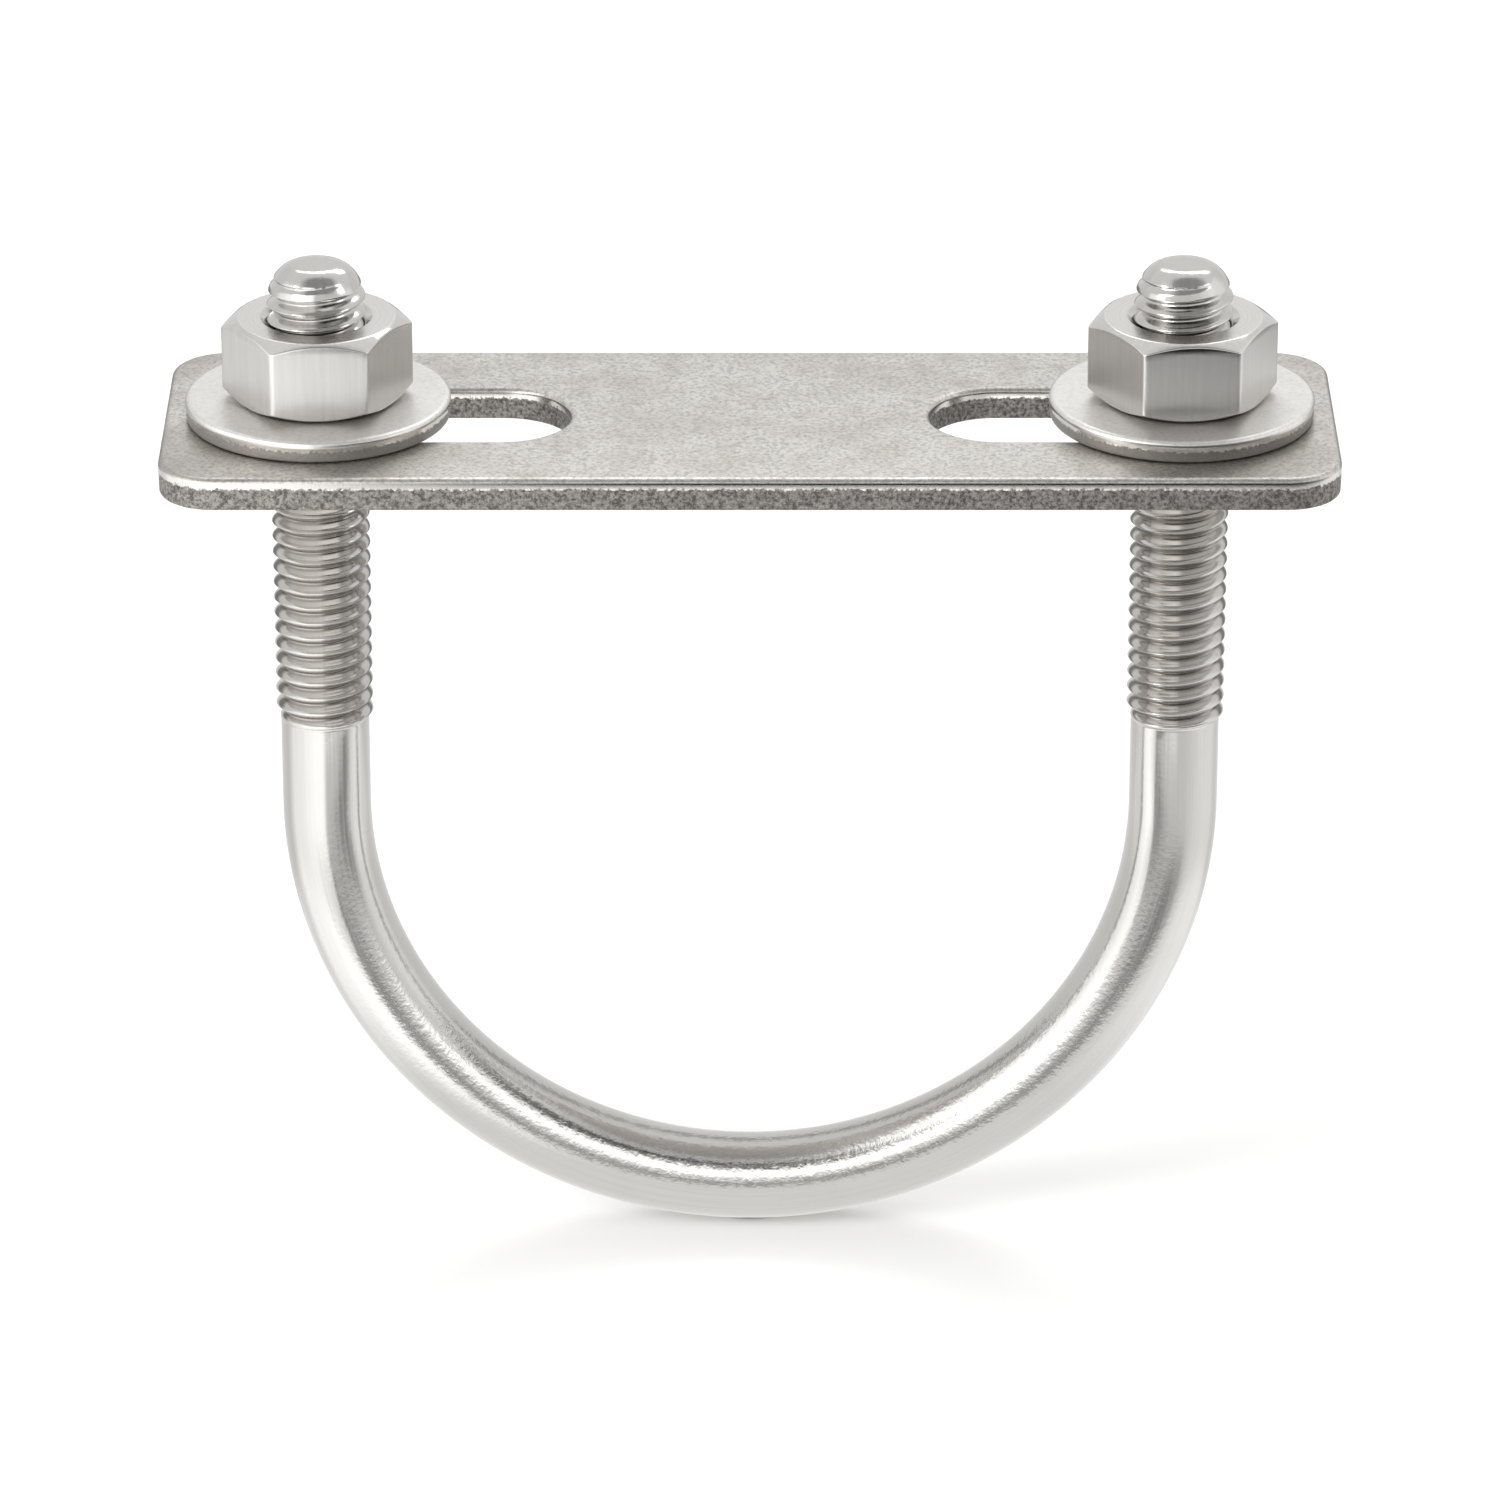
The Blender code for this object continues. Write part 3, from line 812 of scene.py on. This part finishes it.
def nut_seat():
    """Height of the nuts' undersides, pressed onto the washers."""
    return washer_seat() + WASHER_HIGH[2] - WASHER_LOW[2] + SEATED


class BuildWashers(Operator):
    """Makes the two flat washers"""
    bl_idname = "u_bolt.build_washers"
    bl_label = "Build washers"

    def execute(self, context):
        sizes = context.scene.washer_settings
        thickness = WASHER_HIGH[2] - WASHER_LOW[2]
        angle = np.linspace(0, math.tau, WASHER_COLUMNS + 1)
        away = np.stack([np.cos(angle), np.sin(angle)], axis=-1)
        outside = (WASHER_HIGH[1] - WASHER_LOW[1]) / 2
        finish = stamped_sheet_steel(
            "tumbled_stainless_washer", tuple(sizes.colour), 0.38,
            speck=0.22, mottle=0.16, smudge=0.0, tear="#8F8C89")
        for side, x in (("left", -LEG_X), ("right", LEG_X)):
            axis = np.array([x, 0.0])
            hole = (axis + sizes.bore / 2 * away, away)
            rim = (axis + outside * away, -away)
            ring = stamped_sheet(hole, rim, washer_seat(), thickness, sizes.roll)
            washer = make_piece(f"flat_washer_{side}", [ring], finish)
            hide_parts(f"washer_{side}")
            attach(washer, f"washer_{side}")
        return {"FINISHED"}


class BuildNuts(Operator):
    """Makes the two hexagon nuts"""
    bl_idname = "u_bolt.build_nuts"
    bl_label = "Build nuts"

    def execute(self, context):
        sizes = context.scene.nut_settings
        low = nut_seat()
        high = low + NUT_HIGH[2] - NUT_LOW[2]
        for side, x in (("left", -LEG_X), ("right", LEG_X)):
            finish = turned_nut_steel(
                f"turned_stainless_nut_{side}", tuple(sizes.colour), x, low, high)
            nut = make_piece(f"hexagon_nut_{side}", nut_patches(sizes, x, low), finish)
            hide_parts(f"nut_{side}")
            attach(nut, f"nut_{side}")
        return {"FINISHED"}


def softbox(name, place, aim, width, height, power):
    """A soft rectangular light at place, turned towards aim, that the camera doesn't see."""
    data = bpy.data.lights.new(name, "AREA")
    data.shape = "RECTANGLE"
    data.size, data.size_y = width, height
    data.energy = power
    light = bpy.data.objects.new(name, data)
    light.location = place
    light.rotation_mode = "QUATERNION"
    light.rotation_quaternion = (Vector(aim) - Vector(place)).to_track_quat("-Z", "Y")
    light.visible_camera = False
    bpy.context.scene.collection.objects.link(light)


def lit_cloth(brightness):
    """The tent's cloth, which glows as TENT_BANDS says and lights nothing but reflections."""
    cloth = bpy.data.materials.new("lit_tent_cloth")
    cloth.use_nodes = True
    cloth.cycles.emission_sampling = "NONE"
    tree = cloth.node_tree
    tree.nodes.remove(tree.nodes["Principled BSDF"])
    coordinates = add_node(tree, "TexCoord")
    scaled = add_node(tree, "VectorMath", {
        0: coordinates.outputs["Object"], 1: (-1 / TENT_X, -1 / TENT_Y, 1 / MM)}, operation="MULTIPLY")
    part = add_node(tree, "SeparateXYZ", {0: scaled.outputs[0]})
    way = add_node(tree, "Math", {
        0: part.outputs["X"], 1: part.outputs["Y"]}, operation="ARCTAN2")
    turn = add_node(tree, "Math", {0: way.outputs[0]}, operation="DEGREES")

    across = add_node(tree, "VectorMath", {
        0: scaled.outputs[0], 1: (1, 1, 0)}, operation="MULTIPLY")
    outward = add_node(tree, "VectorMath", {0: across.outputs[0]}, operation="LENGTH")
    aside = add_node(tree, "Math", {0: turn.outputs[0]}, operation="ABSOLUTE")
    places = {"turn": turn.outputs[0], "aside": aside.outputs[0],
              "height": part.outputs["Z"], "outward": outward.outputs["Value"]}
    total = 0.0
    for band in TENT_BANDS:
        strength = brightness
        for place, start, end, before, after in band:
            step = add_node(tree, "MapRange", {
                "Value": places[place], "From Min": start, "From Max": end,
                "To Min": before, "To Max": after}, interpolation_type="SMOOTHSTEP")
            stepped = add_node(tree, "Math", {
                0: strength, 1: step.outputs[0]}, operation="MULTIPLY")
            strength = stepped.outputs[0]
        summed = add_node(tree, "Math", {0: total, 1: strength}, operation="ADD")
        total = summed.outputs[0]
    glow = add_node(tree, "Emission", {"Color": (1, 1, 1, 1), "Strength": total})
    tree.links.new(glow.outputs[0], tree.nodes["Material Output"].inputs["Surface"])
    return cloth


def light_tent(low, brightness):
    """A lit cloth bowl close round the set, which only shows in the metal.

    A point is (share * length * cos, share * depth * sin, height): the share grows from the
    middle of the ground to the wall, where the height takes over.
    """
    share = np.array([0.02, 0.25, 0.5, 0.75, 1.0, 1.0])[:, None]
    way = np.linspace(0, math.tau, 97)[None, :]
    ground = low + SEATED
    height = np.array([ground] * 5 + [TENT_TOP])[:, None]
    points = np.stack(np.broadcast_arrays(
        share * TENT_X * np.cos(way), share * TENT_Y * np.sin(way), height), axis=-1)
    mesh = bpy.data.meshes.new("light_tent")
    mesh.from_pydata(points.reshape(-1, 3), [], grid_quads(*points.shape[:2], 0, None))
    mesh.materials.append(lit_cloth(brightness))
    tent = bpy.data.objects.new("light_tent", mesh)
    bpy.context.scene.collection.objects.link(tent)
    for kind in ("camera", "diffuse", "transmission", "volume_scatter", "shadow"):
        setattr(tent, "visible_" + kind, False)


class BuildStudio(Operator):
    """Makes the floor, the soft lights and the camera"""
    bl_idname = "u_bolt.build_studio"
    bl_label = "Build studio"

    def execute(self, context):
        sizes = context.scene.studio_settings
        floor_level = BOLT_LOW[2]
        mesh = bpy.data.meshes.new("floor")
        corners = np.array([(-1, -1), (1, -1), (1, 1), (-1, 1)]) * FLOOR_REACH
        mesh.from_pydata([(x, y, floor_level) for x, y in corners], [], [(0, 1, 2, 3)])
        floor = bpy.data.objects.new("floor", mesh)
        paper = bpy.data.materials.new("matt_white_paper")
        paper.use_nodes = True
        shader = paper.node_tree.nodes["Principled BSDF"]
        shader.inputs["Base Color"].default_value = (*sizes.floor, 1)
        shader.inputs["Roughness"].default_value = 0.9
        shader.inputs["Specular IOR Level"].default_value = 0.1
        mesh.materials.append(paper)
        context.scene.collection.objects.link(floor)

        world = bpy.data.worlds.new("pale_room")
        world.use_nodes = True
        tree = world.node_tree
        toward = add_node(tree, "TexCoord")
        # darker high on the camera's side, where the room is unlit
        over = add_node(tree, "VectorMath", {
            0: toward.outputs["Generated"], 1: Vector((0.15, -0.45, 0.88)).normalized()},
            operation="DOT_PRODUCT")
        dark = add_node(tree, "MapRange", {
            "Value": over.outputs["Value"], "From Min": 0.72, "From Max": 0.90,
            "To Min": 1.0, "To Max": 0.40}, interpolation_type="SMOOTHSTEP")
        grey = add_node(tree, "CombineColor", {
            0: dark.outputs[0], 1: dark.outputs[0], 2: dark.outputs[0]})
        background = tree.nodes["Background"]
        tree.links.new(grey.outputs[0], background.inputs["Color"])
        context.scene.world = world
        context.scene.view_settings.view_transform = "Standard"

        centre = (0, 0, (BOLT_LOW[2] + BOLT_HIGH[2]) / 2)
        power = sizes.brightness
        softbox("key", (-0.60, -0.45, 0.40), centre, 0.45, 0.55, 4.6 * power)
        softbox("back", (0.15, 0.80, 0.75), centre, 0.9, 0.35, 3.0 * power)
        softbox("fill", (0.75, -0.20, 0.35), centre, 0.25, 0.6, 1.0 * power)
        light_tent(floor_level, sizes.brightness)

        angle = sizes.elevation
        back = Vector((0, -math.cos(angle), math.sin(angle)))
        data = bpy.data.cameras.new("camera")
        data.sensor_width = 36
        data.lens = data.sensor_width * sizes.distance / sizes.width
        camera = bpy.data.objects.new("camera", data)
        camera.location = Vector(centre) + back * sizes.distance
        camera.rotation_mode = "QUATERNION"
        camera.rotation_quaternion = (-back).to_track_quat("-Z", "Y")
        context.scene.collection.objects.link(camera)
        context.scene.camera = camera
        return {"FINISHED"}


class SetPanel(Panel):
    """The steps and their sizes"""
    bl_idname = "VIEW3D_PT_u_bolt_set"
    bl_label = "U-bolt set"
    bl_space_type = "VIEW_3D"
    bl_region_type = "UI"
    bl_category = "U-bolt"

    def draw(self, context):
        for settings, operator in STEPS:
            box = self.layout.box()
            group = getattr(context.scene, settings)
            for key in group.__annotations__:
                box.prop(group, key)
            box.operator(operator.bl_idname)


STEPS = (
    ("bolt_settings", BuildBolt),
    ("plate_settings", BuildPlate),
    ("washer_settings", BuildWashers),
    ("nut_settings", BuildNuts),
    ("studio_settings", BuildStudio),
)
GROUPS = {
    "bolt_settings": BoltSettings,
    "plate_settings": PlateSettings,
    "washer_settings": WasherSettings,
    "nut_settings": NutSettings,
    "studio_settings": StudioSettings,
}
CLASSES = (*GROUPS.values(), *(operator for _, operator in STEPS), SetPanel)


def register():
    for cls in CLASSES:
        bpy.utils.register_class(cls)
    for name, group in GROUPS.items():
        setattr(Scene, name, PointerProperty(type=group))


def unregister():
    for name in GROUPS:
        delattr(Scene, name)
    for cls in reversed(CLASSES):
        bpy.utils.unregister_class(cls)


def main():
    register()
    bpy.ops.u_bolt.build_bolt()
    bpy.ops.u_bolt.build_plate()
    bpy.ops.u_bolt.build_washers()
    bpy.ops.u_bolt.build_nuts()
    bpy.ops.u_bolt.build_studio()


if __name__ == "__main__":
    main()
